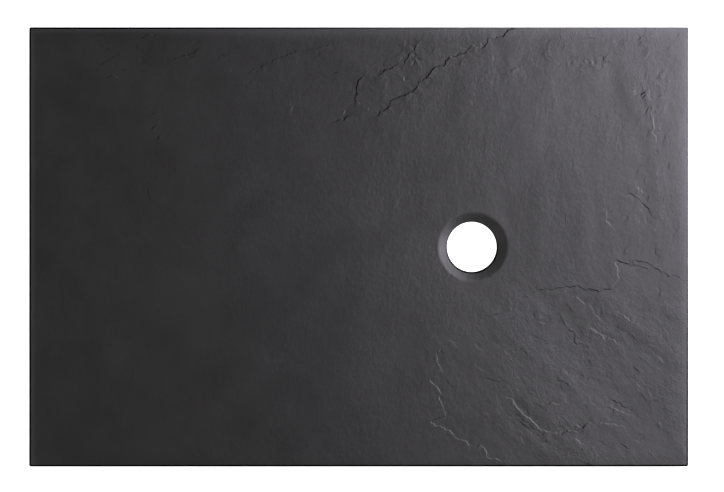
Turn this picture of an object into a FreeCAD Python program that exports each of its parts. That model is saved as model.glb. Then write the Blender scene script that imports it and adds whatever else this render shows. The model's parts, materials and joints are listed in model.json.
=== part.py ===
"""Slate-effect stone-resin shower tray with an off-centre waste hole.

The tray is cast in one open mould, back upwards. A pigmented gel coat lines the mould, the
filled resin is poured on it with a glass-fibre mat laid in, and a honeycomb of pockets is
pressed into the back.

Frame: origin at the middle of the underside, +X towards the end beside the waste, +Y across the
tray and +Z up. All lengths are in millimetres.
"""
import FreeCAD, Part
import math
import os
import Sketcher

# name, value, what it measures
SIZES = (
    ("tray_length", 1200.0, "outside length, along X"),
    ("tray_width", 800.0, "outside width, along Y"),
    ("tray_thickness", 30.0, "height of the level rim above the underside"),
    ("corner_radius", 3.5, "plan radius of the tray's four corners"),
    ("edge_radius", 2.5, "rounding of the rim's outer top edge"),
    ("rim_width", 16.0, "level band between the tray's edge and the falls"),
    ("fall_depth", 10.0, "drop from the rim to the foot of the falls"),
    ("fall_foot_inset", 20.5, "from the dished seat's edge in to the sides of the falls' foot"),
    ("waste_from_end", 392.0, "from the +X end to the middle of the waste hole"),
    ("waste_hole_radius", 46.0, "waste hole, at the gel coat"),
    ("recess_radius", 61.5, "dished seat of the waste, at the height of the falls' foot"),
    ("recess_slope", 30.0, "slope of the dished seat, in degrees"),
    ("recess_lip_radius", 7.0, "rounding between the falls and the dished seat"),
    ("recess_foot_radius", 2.5, "rounding between the dished seat and the waste hole"),
    ("gel_thickness", 1.0, "pigmented gel coat"),
    ("gel_hem", 2.0, "from the underside up to the end of the gel coat"),
    ("mat_thickness", 1.0, "glass-fibre mat"),
    ("mat_height", 12.0, "from the underside up to the mat"),
    ("mat_inset", 25.0, "from the casting's sides in to the mat"),
    ("mat_corner_radius", 20.0, "plan radius of the mat's corners"),
    ("mat_hole_radius", 85.0, "hole in the mat round the waste"),
    ("base_band", 40.0, "least width of the solid band round the honeycomb back"),
    ("pocket_width", 100.0, "honeycomb pocket, across its flats at the underside"),
    ("rib_width", 18.0, "rib between two pockets, at the underside"),
    ("pocket_depth", 8.0, "depth of the pockets in the back"),
    ("pocket_draft", 8.0, "draft of the pockets' walls, in degrees"),
    ("waste_pad_radius", 95.0, "solid pad round the waste hole, in the back"),
)

# plan sizes that several features share, as expressions of the sheet
WASTE_X = "(sizes.tray_length / 2 - sizes.waste_from_end)"
CORE_LENGTH = "(sizes.tray_length - 2 * sizes.gel_thickness)"
CORE_WIDTH = "(sizes.tray_width - 2 * sizes.gel_thickness)"
CORE_HOLE_RADIUS = "(sizes.waste_hole_radius + sizes.gel_thickness)"
FOOT_HALF = "(sizes.recess_radius - sizes.fall_foot_inset)"

# the honeycomb: rows along Y, and columns along X that stand half a row apart in turn
ROW_STEP = "(sizes.pocket_width + sizes.rib_width)"
COLUMN_STEP = f"({ROW_STEP} * sqrt(3) / 2)"
POCKET_REACH = "(sizes.pocket_width / sqrt(3))"
ROWS = (f"(floor(({CORE_WIDTH} - 2 * sizes.base_band - sizes.pocket_width)"
        f" / {ROW_STEP}) + 1)")
COLUMNS = (f"(floor(({CORE_LENGTH} - 2 * sizes.base_band - 2 * {POCKET_REACH})"
           f" / {COLUMN_STEP}) + 1)")

UPWARDS = FreeCAD.Vector(0, 0, 1)
TOUCHING = 0.01

doc = FreeCAD.newDocument("shower_tray")


def make_sheet():
    """The driving dimensions, one row each: name, value and meaning."""
    sheet = doc.addObject("Spreadsheet::Sheet", "sizes")
    for row, (name, value, meaning) in enumerate(SIZES, start=1):
        sheet.set(f"A{row}", name)
        sheet.set(f"B{row}", str(value))
        sheet.setAlias(f"B{row}", name)
        sheet.set(f"C{row}", meaning)
    doc.recompute()
    return sheet


sheet = make_sheet()


def number(expression):
    """What an expression of the sheet is worth now."""
    value = sheet.evalExpression(expression.replace("sizes.", ""))
    return float(getattr(value, "Value", value))


# ---------------------------------------------------------------- bodies and sketches

def new_body(name):
    body = doc.addObject("PartDesign::Body", name)
    body.Label = name
    return body


def origin_plane(body, role):
    return [item for item in body.Origin.OriginFeatures if item.Role == role][0]


def new_sketch(body, name, height="0", plane="XY_Plane", across="0"):
    """A sketch on one of the body's own origin planes, raised by height or moved across."""
    sketch = body.newObject("Sketcher::SketchObject", name)
    sketch.AttachmentSupport = (origin_plane(body, plane), "")
    sketch.MapMode = "FlatFace"
    sketch.setExpression("AttachmentOffset.Base.x", across)
    sketch.setExpression("AttachmentOffset.Base.z", height)
    return sketch


def dimension(sketch, name, kind, where, expression):
    """A named driving constraint, tied to the sheet."""
    index = sketch.addConstraint(Sketcher.Constraint(kind, *where, number(expression)))
    sketch.renameConstraint(index, name)
    sketch.setExpression(f"Constraints.{name}", expression)


def rounded_rectangle(sketch, length, width, radius, x="0", y="0"):
    """Four sides and four tangent corner arcs about the point x, y."""
    sides = {
        "east": f"{x} + {length} / 2",
        "west": f"{x} - {length} / 2",
        "north": f"{y} + {width} / 2",
        "south": f"{y} - {width} / 2",
    }
    east, west, north, south = (number(side) for side in sides.values())
    r = number(radius)
    quarter = math.pi / 2

    def side(x1, y1, x2, y2):
        return Part.LineSegment(FreeCAD.Vector(x1, y1, 0), FreeCAD.Vector(x2, y2, 0))

    def corner(cx, cy, start):
        circle = Part.Circle(FreeCAD.Vector(cx, cy, 0), UPWARDS, r)
        return Part.ArcOfCircle(circle, start, start + quarter)

    outline = [
        side(west + r, south, east - r, south),
        corner(east - r, south + r, -quarter),
        side(east, south + r, east, north - r),
        corner(east - r, north - r, 0),
        side(east - r, north, west + r, north),
        corner(west + r, north - r, quarter),
        side(west, north - r, west, south + r),
        corner(west + r, south + r, 2 * quarter),
    ]
    sketch.addGeometry(outline, False)
    for edge in range(len(outline)):
        following = (edge + 1) % len(outline)
        sketch.addConstraint(Sketcher.Constraint("Tangent", edge, 2, following, 1))
    for edge, direction in ((0, "Horizontal"), (2, "Vertical"), (4, "Horizontal"), (6, "Vertical")):
        sketch.addConstraint(Sketcher.Constraint(direction, edge))
    for arc in (3, 5, 7):
        sketch.addConstraint(Sketcher.Constraint("Equal", 1, arc))
    dimension(sketch, "corner", "Radius", (1,), radius)
    dimension(sketch, "east", "DistanceX", (-1, 1, 2, 1), sides["east"])
    dimension(sketch, "west", "DistanceX", (-1, 1, 6, 1), sides["west"])
    dimension(sketch, "north", "DistanceY", (-1, 1, 4, 1), sides["north"])
    dimension(sketch, "south", "DistanceY", (-1, 1, 0, 1), sides["south"])


def hexagon(sketch, x, y, reach):
    """A regular hexagon with two level sides. reach is from its middle to a corner."""
    middle = FreeCAD.Vector(number(x), number(y), 0)
    ring = [middle + FreeCAD.Vector(math.cos(a), math.sin(a), 0) * number(reach)
            for a in (math.pi / 3 * side for side in range(6))]
    for side in range(6):
        sketch.addGeometry(Part.LineSegment(ring[side], ring[(side + 1) % 6]), False)
    circle = sketch.addGeometry(Part.Circle(middle, UPWARDS, number(reach)), True)
    for side in range(6):
        sketch.addConstraint(Sketcher.Constraint("Coincident", side, 2, (side + 1) % 6, 1))
        sketch.addConstraint(Sketcher.Constraint("PointOnObject", side, 1, circle))
    for side in range(1, 6):
        sketch.addConstraint(Sketcher.Constraint("Equal", 0, side))
    sketch.addConstraint(Sketcher.Constraint("Horizontal", 1))
    dimension(sketch, "reach", "Radius", (circle,), reach)
    dimension(sketch, "column", "DistanceX", (-1, 1, circle, 3), x)
    dimension(sketch, "row", "DistanceY", (-1, 1, circle, 3), y)


def waste_circle(sketch, name, radius):
    """A circle about the waste's upright axis."""
    middle = FreeCAD.Vector(number(WASTE_X), 0, 0)
    index = sketch.addGeometry(Part.Circle(middle, UPWARDS, number(radius)), False)
    sketch.addConstraint(Sketcher.Constraint("PointOnObject", index, 3, -1))
    dimension(sketch, f"{name}_x", "DistanceX", (-1, 1, index, 3), WASTE_X)
    dimension(sketch, f"{name}_radius", "Radius", (index,), radius)


def round_edges(body, name, base, radius, wanted):
    """A fillet along every edge of base that wanted accepts."""
    doc.recompute()
    names = [f"Edge{i}" for i, edge in enumerate(base.Shape.Edges, start=1) if wanted(edge)]
    fillet = body.newObject("PartDesign::Fillet", name)
    fillet.Base = (base, names)
    fillet.setExpression("Radius", radius)
    return fillet


def waste_distances(edge):
    """How far sample points of an edge lie from the waste's axis."""
    axis_x = number(WASTE_X)
    return [math.hypot(p.x - axis_x, p.y) for p in edge.discretize(5)]


# ---------------------------------------------------------------- the tray's form

def tray_form(name, skin, base):
    """The tray's outer form, taken in by the thickness skin, from the height base upwards.

    A slab with a rounded rim, four falls, the dished seat of the waste and the waste hole.
    """
    body = new_body(name)
    top = f"(sizes.tray_thickness - {skin})"

    plan = new_sketch(body, f"{name}_plan", height=base)
    rounded_rectangle(plan, f"(sizes.tray_length - 2 * {skin})", f"(sizes.tray_width - 2 * {skin})",
                      f"sizes.corner_radius - {skin}")
    slab = body.newObject("PartDesign::Pad", f"{name}_slab")
    slab.Profile = plan
    slab.setExpression("Length", f"{top} - {base}")

    def on_rim(edge):
        return all(abs(p.z - number(top)) < TOUCHING for p in edge.discretize(3))

    round_edges(body, f"{name}_rim_round", slab, f"sizes.edge_radius - {skin}", on_rim)
    add_falls(body, name, top)
    waste = add_waste(body, name, skin, base)

    def on_lip(edge):
        nearest = number("sizes.waste_hole_radius + sizes.recess_foot_radius")
        farthest = number("sizes.recess_radius + sizes.fall_depth")
        return all(nearest < r < farthest for r in waste_distances(edge))

    round_edges(body, f"{name}_lip_round", waste, f"sizes.recess_lip_radius - {skin}", on_lip)
    return body


def add_falls(body, name, top):
    """Four flat falls from the rim to a square foot inside the dished seat.

    The wedge stands on the XZ plane, so its own Y is the tray's Z and its own Z the tray's -Y.
    """
    falls = body.newObject("PartDesign::SubtractiveWedge", f"{name}_falls")
    falls.AttachmentSupport = (origin_plane(body, "XZ_Plane"), "")
    falls.MapMode = "FlatFace"
    rim_length = "(sizes.tray_length / 2 - sizes.rim_width)"
    rim_width = "(sizes.tray_width / 2 - sizes.rim_width)"
    corners = {
        "Ymin": f"{top} - sizes.fall_depth",
        "Xmin": f"{WASTE_X} - {FOOT_HALF}",
        "Xmax": f"{WASTE_X} + {FOOT_HALF}",
        "Zmin": f"-{FOOT_HALF}",
        "Zmax": FOOT_HALF,
        "Ymax": top,
        "X2min": f"-{rim_length}",
        "X2max": rim_length,
        "Z2min": f"-{rim_width}",
        "Z2max": rim_width,
    }
    for corner, place in corners.items():
        setattr(falls, corner, number(place))
        falls.setExpression(corner, place)


def add_waste(body, name, skin, base):
    """The waste hole and its dished seat, turned about the waste's upright axis.

    Taking the form in by skin widens the hole and lowers the seat by the same thickness,
    measured square to its slope. Hole and seat meet in a rounding that is in the profile too.
    """
    slope = "tan(sizes.recess_slope * 1 deg)"
    drop = f"({skin} / cos(sizes.recess_slope * 1 deg))"
    foot = "(sizes.tray_thickness - sizes.fall_depth)"
    hole_radius = f"(sizes.waste_hole_radius + {skin})"
    rounding = f"(sizes.recess_foot_radius - {skin})"
    lid = "(sizes.tray_thickness + sizes.fall_depth)"
    lid_radius = f"(sizes.recess_radius + ({lid} - {foot} + {drop}) / {slope})"
    wall_top = (f"({foot} - {drop} - (sizes.recess_radius - {hole_radius}) * {slope}"
                f" - {rounding} * tan((90 - sizes.recess_slope) / 2 * 1 deg))")
    low = f"({base} - sizes.gel_hem)"

    sketch = new_sketch(body, f"{name}_waste_profile", plane="XZ_Plane", across=WASTE_X)
    r = number(rounding)
    turn = math.radians(number("sizes.recess_slope"))
    wall = number(hole_radius)
    centre = FreeCAD.Vector(wall + r, number(wall_top), 0)
    arc = Part.ArcOfCircle(Part.Circle(centre, UPWARDS, r), math.pi / 2 + turn, math.pi)
    bottom_axis = FreeCAD.Vector(0, number(low), 0)
    bottom_wall = FreeCAD.Vector(wall, number(low), 0)
    lid_edge = FreeCAD.Vector(number(lid_radius), number(lid), 0)
    lid_axis = FreeCAD.Vector(0, number(lid), 0)
    bottom, side, rounded, cone, top, axis = range(6)
    sketch.addGeometry([
        Part.LineSegment(bottom_axis, bottom_wall),
        Part.LineSegment(bottom_wall, arc.EndPoint),
        arc,
        Part.LineSegment(arc.StartPoint, lid_edge),
        Part.LineSegment(lid_edge, lid_axis),
        Part.LineSegment(lid_axis, bottom_axis),
    ], False)
    for first, first_end, second, second_end in (
            (bottom, 2, side, 1), (cone, 2, top, 1), (top, 2, axis, 1), (axis, 2, bottom, 1)):
        sketch.addConstraint(
            Sketcher.Constraint("Coincident", first, first_end, second, second_end))
    sketch.addConstraint(Sketcher.Constraint("Tangent", side, 2, rounded, 2))
    sketch.addConstraint(Sketcher.Constraint("Tangent", rounded, 1, cone, 1))
    for edge, direction in ((bottom, "Horizontal"), (side, "Vertical"), (top, "Horizontal")):
        sketch.addConstraint(Sketcher.Constraint(direction, edge))
    sketch.addConstraint(Sketcher.Constraint("PointOnObject", axis, 1, -2))
    sketch.addConstraint(Sketcher.Constraint("PointOnObject", axis, 2, -2))
    dimension(sketch, "low", "DistanceY", (-1, 1, bottom, 1), low)
    dimension(sketch, "lid", "DistanceY", (-1, 1, top, 1), lid)
    dimension(sketch, "hole_radius", "DistanceX", (-1, 1, bottom, 2), hole_radius)
    dimension(sketch, "rounding", "Radius", (rounded,), rounding)
    dimension(sketch, "lid_radius", "DistanceX", (-1, 1, cone, 2), lid_radius)
    dimension(sketch, "wall_top", "DistanceY", (-1, 1, side, 2), wall_top)
    waste = body.newObject("PartDesign::Groove", f"{name}_waste")
    waste.Profile = sketch
    waste.ReferenceAxis = (sketch, ["V_Axis"])
    waste.Angle = 360
    return waste


# ---------------------------------------------------------------- the pieces

def make_gel_coat():
    """Gel coat over the top, the sides and the waste: the outer form less the casting's form."""
    coat = doc.addObject("Part::Cut", "gel_coat")
    coat.Base = tray_form("coat_form", "0", "sizes.gel_hem")
    coat.Tool = tray_form("casting_form", "sizes.gel_thickness", "0")
    coat.Label = "gel_coat"
    return coat


def mat_outline(sketch):
    """The mat stops short of the tray's sides and of the waste."""
    rounded_rectangle(sketch, f"({CORE_LENGTH} - 2 * sizes.mat_inset)",
                      f"({CORE_WIDTH} - 2 * sizes.mat_inset)", "sizes.mat_corner_radius")
    waste_circle(sketch, "waste", "sizes.mat_hole_radius")


def make_mat():
    """Glass-fibre mat, laid flat in the casting."""
    body = new_body("glass_fibre_mat")
    outline = new_sketch(body, "mat_plan", height="sizes.mat_height")
    mat_outline(outline)
    sheet_of_mat = body.newObject("PartDesign::Pad", "mat_sheet")
    sheet_of_mat.Profile = outline
    sheet_of_mat.setExpression("Length", "sizes.mat_thickness")
    return body


def make_casting(form):
    """The filled resin: the form inside the gel coat, a honeycomb back and room for the mat."""
    body = new_body("mineral_casting")
    body.BaseFeature = form
    add_pockets(body, "full_columns", 0, ROWS)
    add_pockets(body, "short_columns", 1, f"({ROWS} - 1)")
    add_waste_pad(body)

    outline = new_sketch(body, "mat_room_plan", height="sizes.mat_height")
    mat_outline(outline)
    room = body.newObject("PartDesign::Pocket", "mat_room")
    room.Profile = outline
    room.Reversed = True
    room.setExpression("Length", "sizes.mat_thickness")
    return body


def add_pockets(body, name, first_column, rows):
    """Every second column of the honeycomb, from the given one on: drafted six-sided pockets."""
    column = f"({COLUMN_STEP} * ({first_column} - ({COLUMNS} - 1) / 2))"
    row = f"({ROW_STEP} * (1 - {rows}) / 2)"
    first = new_sketch(body, f"{name}_plan")
    hexagon(first, column, row, POCKET_REACH)
    pocket = body.newObject("PartDesign::Pocket", f"{name}_first")
    pocket.Profile = first
    pocket.Reversed = True
    pocket.setExpression("Length", "sizes.pocket_depth")
    pocket.setExpression("TaperAngle", "-sizes.pocket_draft")
    doc.recompute()

    columns = f"ceil(({COLUMNS} - {first_column}) / 2)"
    pattern = body.newObject("PartDesign::LinearPattern", name)
    pattern.Originals = [pocket]
    pattern.Direction = (first, ["H_Axis"])
    pattern.Direction2 = (first, ["V_Axis"])
    pattern.Mode = "Extent"
    pattern.Mode2 = "Extent"
    pattern.setExpression("Length", f"2 * {COLUMN_STEP} * ({columns} - 1)")
    pattern.setExpression("Length2", f"{ROW_STEP} * ({rows} - 1)")
    pattern.setExpression("Occurrences", columns)
    pattern.setExpression("Occurrences2", rows)
    body.Tip = pattern


def add_waste_pad(body):
    """A solid pad round the waste hole, level with the underside, for the waste's seal."""
    ring = new_sketch(body, "waste_pad_plan")
    waste_circle(ring, "pad", "sizes.waste_pad_radius")
    waste_circle(ring, "hole", CORE_HOLE_RADIUS)
    pad = body.newObject("PartDesign::Pad", "waste_pad")
    pad.Profile = ring
    pad.setExpression("Length", "sizes.pocket_depth")


# ---------------------------------------------------------------- build, test and write

gel_coat = make_gel_coat()
mat = make_mat()
casting = make_casting(gel_coat.Tool)
pieces = (gel_coat, casting, mat)
doc.recompute()

for item in doc.Objects:
    if "Invalid" in item.State or "Error" in item.State:
        raise RuntimeError(f"{item.Label} could not be built: {item.State}")
for piece in pieces:
    if piece.Shape.isNull() or not piece.Shape.isValid():
        raise RuntimeError(f"{piece.Label} has no valid shape")
    if len(piece.Shape.Solids) != 1:
        raise RuntimeError(f"{piece.Label} is not one solid")

os.makedirs("parts", exist_ok=True)
for piece in pieces:
    piece.Shape.exportStep(f"parts/{piece.Label}.step")
    box = piece.Shape.BoundBox
    print(f"{piece.Label}: {box.XLength:.1f} x {box.YLength:.1f} x {box.ZLength:.1f} mm, "
          f"{piece.Shape.Volume / 1e6:.3f} litres, {len(piece.Shape.Faces)} faces")
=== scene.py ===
"""Slate-effect shower tray: the gel coat with its cleft relief, the stone casting and its glass mat.

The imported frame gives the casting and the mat. The gel coat is built here as a closed shell one
millimetre thick: a top skin that carries the falls, the dished waste seat and the cleft relief,
a rounded rim, sides down to the hem, and a plain inner skin on the casting.
All lengths are in metres, unless a name ends in MM or the comment over a table says otherwise.
"""

import json
import math

import bpy
import numpy as np
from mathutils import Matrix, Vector
from mathutils.geometry import delaunay_2d_cdt


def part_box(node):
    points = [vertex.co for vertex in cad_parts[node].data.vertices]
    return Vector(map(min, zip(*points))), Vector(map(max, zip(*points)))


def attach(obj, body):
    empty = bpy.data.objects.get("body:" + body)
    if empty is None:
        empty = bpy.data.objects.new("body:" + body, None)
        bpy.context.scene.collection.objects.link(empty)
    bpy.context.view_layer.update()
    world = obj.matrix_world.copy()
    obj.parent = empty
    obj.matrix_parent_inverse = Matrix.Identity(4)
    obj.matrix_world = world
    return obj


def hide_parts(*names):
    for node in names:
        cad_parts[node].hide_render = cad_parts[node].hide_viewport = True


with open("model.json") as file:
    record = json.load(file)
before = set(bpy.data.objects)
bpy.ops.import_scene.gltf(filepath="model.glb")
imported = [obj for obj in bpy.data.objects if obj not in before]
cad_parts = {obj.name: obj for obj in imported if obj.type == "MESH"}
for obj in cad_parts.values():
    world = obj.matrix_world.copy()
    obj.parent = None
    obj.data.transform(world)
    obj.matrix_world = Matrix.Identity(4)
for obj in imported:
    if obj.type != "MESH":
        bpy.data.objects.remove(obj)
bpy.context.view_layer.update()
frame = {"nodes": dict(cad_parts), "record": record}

MM = 0.001

# ---------------------------------------------------------------- sizes of the tray

coat_low, coat_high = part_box("gel_coat")
casting_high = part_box("mineral_casting")[1]
waste_mount = [mount for mount in frame["record"]["mounts"] if mount["name"] == "waste_hole"][0]

LENGTH = coat_high.x - coat_low.x
WIDTH = coat_high.y - coat_low.y
RIM_TOP = coat_high.z
HEM = coat_low.z
COAT = coat_high.z - casting_high.z
WASTE_X = waste_mount["pos_m"][0]
HOLE_RADIUS = waste_mount["dims"]["r_mm"] * MM

CORNER = 3.5 * MM
EDGE = 2.5 * MM
RIM = 16 * MM
FALL = 10 * MM
SEAT_RADIUS = 61.5 * MM
FALL_FOOT_INSET = 20.5 * MM
FOOT_HALF = SEAT_RADIUS - FALL_FOOT_INSET
SEAT_SLOPE = math.radians(30)
FOOT_RADIUS = 2.5 * MM
LIP_REACH = 2.8 * MM

# the rim's outer strip curves down a little towards the edge
CROWN_WIDTH = 32 * MM
CROWN_DROP = 0.45 * MM
CROWN_POWER = 2.5

# softness of the bends between the falls, as a difference of depth
VALLEY_BLEND = 1.6 * MM
RIM_BLEND = 0.45 * MM

# The hem's eased edge, at the tray's side and in the hole's wall: distance in from the side and
# height over the hem. The support is a loop that keeps the side flat below a rounding.
RIM_HEM_MM = ((0, 1.0), (0.1, 0.3), (0.4, 0))
HOLE_HEM_MM = ((0, 0.6), (0.3, 0))
SUPPORT = 0.7 * MM

# ---------------------------------------------------------------- mesh density

SKIN_PITCH = 6.2 * MM
OUTLINE_PITCH = 5.0 * MM
HOLE_POINTS = 180
LINING_PITCH = 40 * MM
CLEFT_PITCH = 1.7 * MM
FINE_PITCH = 2.5 * MM
CLEFT_ROWS_MM = (-7, -2.6, -0.6, 0, 0.55, 1.15, 1.9, 4, 8.5)
FINE_ROWS_MM = (-2, 0, 0.8, 1.7, 4)
LATTICE_JITTER = 0.28
LATTICE_MARGIN = 3 * MM
ROW_MARGIN = 1 * MM
SEAT_CLEAR = 77 * MM

# rings round the waste: from the seat's edge outwards on the top skin, and their radii on the lining
SEAT_RINGS_MM = (-12.5, -10, -7, -4.5, -3, -2, -1, 0, 1, 2, 3, 4.5, 6.5, 9.5, 13.5)
LINING_RINGS_MM = (54, 60, 64, 72)

# degrees of the loops round the tray's top edge and round the seat's foot, and points of a corner
EDGE_TURNS = (18, 36, 54, 72, 90)
FOOT_TURNS = (42, 54, 66, 78, 90)
CORNER_POINTS = 7
CORNER_SIGNS = ((1, 1), (-1, 1), (-1, -1), (1, -1))

# ---------------------------------------------------------------- the cleft relief

CLEFT_SEED = 11
SWELL_SEED = 5
LATTICE_SEED = 3

# A cleft: the width of its broken face, how far it bends the stone on its two sides, the distance
# beyond which it is left out, and a factor on every step's height. Then how many places are
# worked on at once, so that memory holds out.
CLEFT_FACE = 1.15 * MM
CLEFT_REACH = 16 * MM
CLEFT_LIMIT = 4 * CLEFT_REACH
CLEFT_SCALE = 2.0
BLOCK = 2000

# Random jogs of a cleft's line and of its step's height: the distance between knots, and the size.
# The line's jogs fade out towards its ends.
COARSE_JOG = (9 * MM, 1.3 * MM)
FINE_JOG = (3.4 * MM, 1.0 * MM)
STEP_JOG = (5 * MM, 0.5)
STEP_JOG_LIMITS = (0.1, 1.9)
LINE_FADE = 6 * MM

# The shade painted in a cleft: its middle on the broken face, its reach, the share of that which
# the lowest steps keep, and the step from which it is full. Then how dark it is on the whole, how
# much facing the key light or turning away from it changes that, and how pale the painted highlight
# gets.
CREVICE_MIDDLE = 0.7 * CLEFT_FACE
CREVICE_REACH = 1.35 * MM
CREVICE_NARROW = 0.45
CREVICE_STEP = 1.1 * MM
CREVICE_EDGE = 1.7
CLEFT_SHADE_MEAN = 0.6
CLEFT_SHADE_SWING = 1.5
BRIGHTEST_CLEFT_HIGHLIGHT = -0.55
# the direction in plan towards the key light
LIT_SIDE = (0.95, 0.31)

# The relief sets in between these distances from the waste's axis, and stays within these heights.
SEAT_FADE = (66 * MM, 84 * MM)
RELIEF_LIMITS = (-0.8 * MM, 1.2 * MM)

# Each cleft is a line of points: x and y in millimetres, and the height of its step in
# millimetres. Walking along the line, the step drops on the right-hand side. A step that drops
# towards the key light gets a painted highlight, and any other a painted shade.
CLEFTS = {
    "main_cleft": (
        (285, 398, .30), (254, 379, .42), (240, 378, .38), (222, 360, .50), (205, 365, .30),
        (196, 353, .46), (165, 343, .36), (157, 330, .44), (139, 327, .48), (108, 294, .60),
        (93, 279, .52), (65, 268, .44), (46, 244, .48), (31, 238, .36), (18, 241, 0)),
    "main_tail": ((8, 243, 0), (-14, 238, .45), (-34, 231, .40), (-57, 222, 0)),
    "stem": ((10, 320, 0), (9, 316, .36), (-4, 295, .44), (-5, 281, .48), (-8, 254, 0)),
    "branch": ((73, 332, 0), (57, 326, .42), (38, 313, .42), (18, 312, 0)),
    "upper_branch": ((118, 380, 0), (101, 363, .25), (87, 342, .30), (77, 320, 0)),
    "left_branch": ((-2, 328, 0), (-27, 321, .20), (-40, 317, .20), (-67, 313, 0)),
    "long_ledge": (
        (11, 375, 0), (-57, 366, .24), (-96, 356, .27), (-128, 349, .28), (-166, 335, .25),
        (-187, 325, .22), (-213, 308, 0)),
    "right_ledge": ((305, 333, 0), (279, 323, .22), (253, 305, 0)),
    "broken_layer": (
        (278, -393, .10), (257, -389, .24), (233, -383, .28), (228, -366, .20), (208, -362, .32),
        (186, -351, .32), (166, -336, .36), (145, -328, .32), (131, -318, .36), (157, -306, .20),
        (151, -289, .27), (147, -272, .24), (145, -256, .20), (130, -245, .24), (149, -227, .24),
        (146, -212, .27), (138, -198, .27), (142, -190, .20), (169, -173, .12), (204, -145, .10),
        (231, -126, .10), (277, -114, .10), (282, -99, .10), (312, -87, .15), (332, -77, .18),
        (349, -76, .18), (383, -73, .22), (400, -72, .18), (417, -76, .23), (437, -80, .22),
        (451, -75, .25), (464, -74, .25), (471, -62, .30), (473, -50, .35), (466, -32, .25),
        (469, -26, .22), (494, -28, .19), (504, -23, .17), (525, -29, .19), (545, -40, .19),
        (570, -52, .13), (598, -62, .05)),
    "second_layer": ((490, -31, 0), (497, -32, .12), (525, -36, .12), (534, -42, 0)),
    "diagonal_1": ((440, -136, 0), (420, -108, .20), (400, -95, .18), (380, -87, 0)),
    "diagonal_2": ((484, -188, 0), (467, -171, .30), (444, -163, .30), (413, -141, 0)),
    "diagonal_3": ((352, -104, 0), (374, -135, .15), (400, -172, .17), (429, -198, 0)),
    "diagonal_4": ((513, -146, 0), (488, -130, .22), (460, -116, 0)),
    "diagonal_5": ((280, -208, 0), (272, -196, .24), (262, -186, 0)),
    "diagonal_6": ((418, -366, 0), (401, -354, .26), (384, -344, 0)),
    "small_crumbs": ((368, -290, 0), (350, -285, .26), (338, -290, .22), (324, -284, 0)),
    "bright_ledge": (
        (363, -345, 0), (329, -331, .40), (316, -321, .43), (297, -301, .43), (282, -284, .30),
        (262, -269, 0)),
    "ledge_back": ((268, -278, 0), (292, -304, .09), (312, -326, .10), (340, -345, 0)),
    "ledge_crumbs": (
        (429, -319, 0), (410, -329, .35), (383, -334, .30), (370, -343, .35), (346, -334, 0)),
    "dark_splinter": ((425, -320, 0), (420, -323, .32), (409, -331, .28), (405, -334, 0)),
    "lower_ledge": ((498, -332, 0), (466, -324, .28), (440, -321, .28), (429, -319, 0)),
    "tick_1": ((426, -240, 0), (417, -242, .35), (398, -246, 0)),
    "tick_2": ((360, -236, 0), (370, -245, .24), (392, -261, 0)),
    "faint_bow": ((214, -233, 0), (248, -242, .14), (292, -248, 0)),
    "hook": ((444, -283, 0), (461, -277, .22), (479, -287, .22), (506, -299, 0)),
    "hook_edge": ((500, -309, 0), (474, -298, .30), (432, -283, 0)),
    "low_tick": ((474, -354, 0), (484, -360, .26), (496, -367, 0)),
    "corner_tick": ((447, 347, 0), (447, 340, .50), (445, 325, 0)),
    "corner_hook": ((436, 340, 0), (428, 334, .25), (416, 342, 0)),
    "corner_dash": ((410, 332, 0), (402, 326, .22), (394, 320, 0)),
    "corner_bow": ((530, 387, 0), (516, 384, .22), (501, 372, 0)),
    "arrow": ((530, 284, 0), (520, 280, .40), (512, 278, .40), (503, 274, 0)),
    "arrow_barb": ((525, 279, 0), (520, 273, .35), (516, 268, 0)),
    "corner_line": ((556, 330, 0), (544, 306, .16), (531, 294, 0)),
    "bright_bow": (
        (548, 183, 0), (540, 189, .16), (535, 211, .27), (536, 226, .20), (526, 252, 0)),
    "round_top": ((478, 103, 0), (501, 95, .18), (522, 79, .20), (538, 48, 0)),
    "round_side": ((468, 26, 0), (454, 45, .25), (450, 64, .28), (452, 82, 0)),
    "crescent": ((67, 71, 0), (71, 84, .22), (67, 97, 0)),
    "oval": ((-222, 170, 0), (-230, 221, .05), (-204, 260, 0)),
    "fleck_1": ((-129, 242, 0), (-124, 251, .30), (-119, 260, 0)),
    "fleck_2": ((-36, 239, 0), (-30, 246, .40), (-25, 252, 0)),
    "fleck_3": ((82, 301, 0), (83, 307, .40), (85, 313, 0)),
    "fleck_4": ((14, 246, 0), (20, 250, .35), (17, 256, 0)),
    "left_mark_1": ((-400, 295, 0), (-428, 305, .24), (-450, 311, .30), (-474, 302, 0)),
    "left_mark_2": ((-423, 353, 0), (-446, 346, .20), (-467, 332, .22), (-500, 330, 0)),
    "left_mark_3": ((-285, 361, 0), (-303, 351, .34), (-326, 344, .38), (-353, 341, 0)),
    "left_mark_4": ((-358, 381, 0), (-379, 384, .32), (-398, 380, .30), (-420, 383, 0)),
    "left_mark_5": ((-432, 364, 0), (-455, 366, .28), (-484, 363, 0)),
    "left_mark_6": ((-156, 294, 0), (-184, 299, .28), (-215, 301, 0)),
    "left_mark_7": ((-232, 344, 0), (-250, 346, .22), (-262, 338, 0)),
    "crinkle_1": ((-366, 247, 0), (-376, 240, .30), (-388, 237, 0)),
    "crinkle_2": ((-360, 236, 0), (-372, 226, .36), (-390, 222, 0)),
    "crinkle_3": ((-364, 222, 0), (-374, 213, .30), (-386, 210, 0)),
    "crinkle_4": ((-358, 212, 0), (-364, 200, .24), (-376, 193, 0)),
    "crinkle_5": ((-384, 122, 0), (-383, 100, .14), (-376, 76, 0)),
    "dark_tip": ((-72, 316, 0), (-60, 312, .16), (-48, 314, 0)),
}

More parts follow.
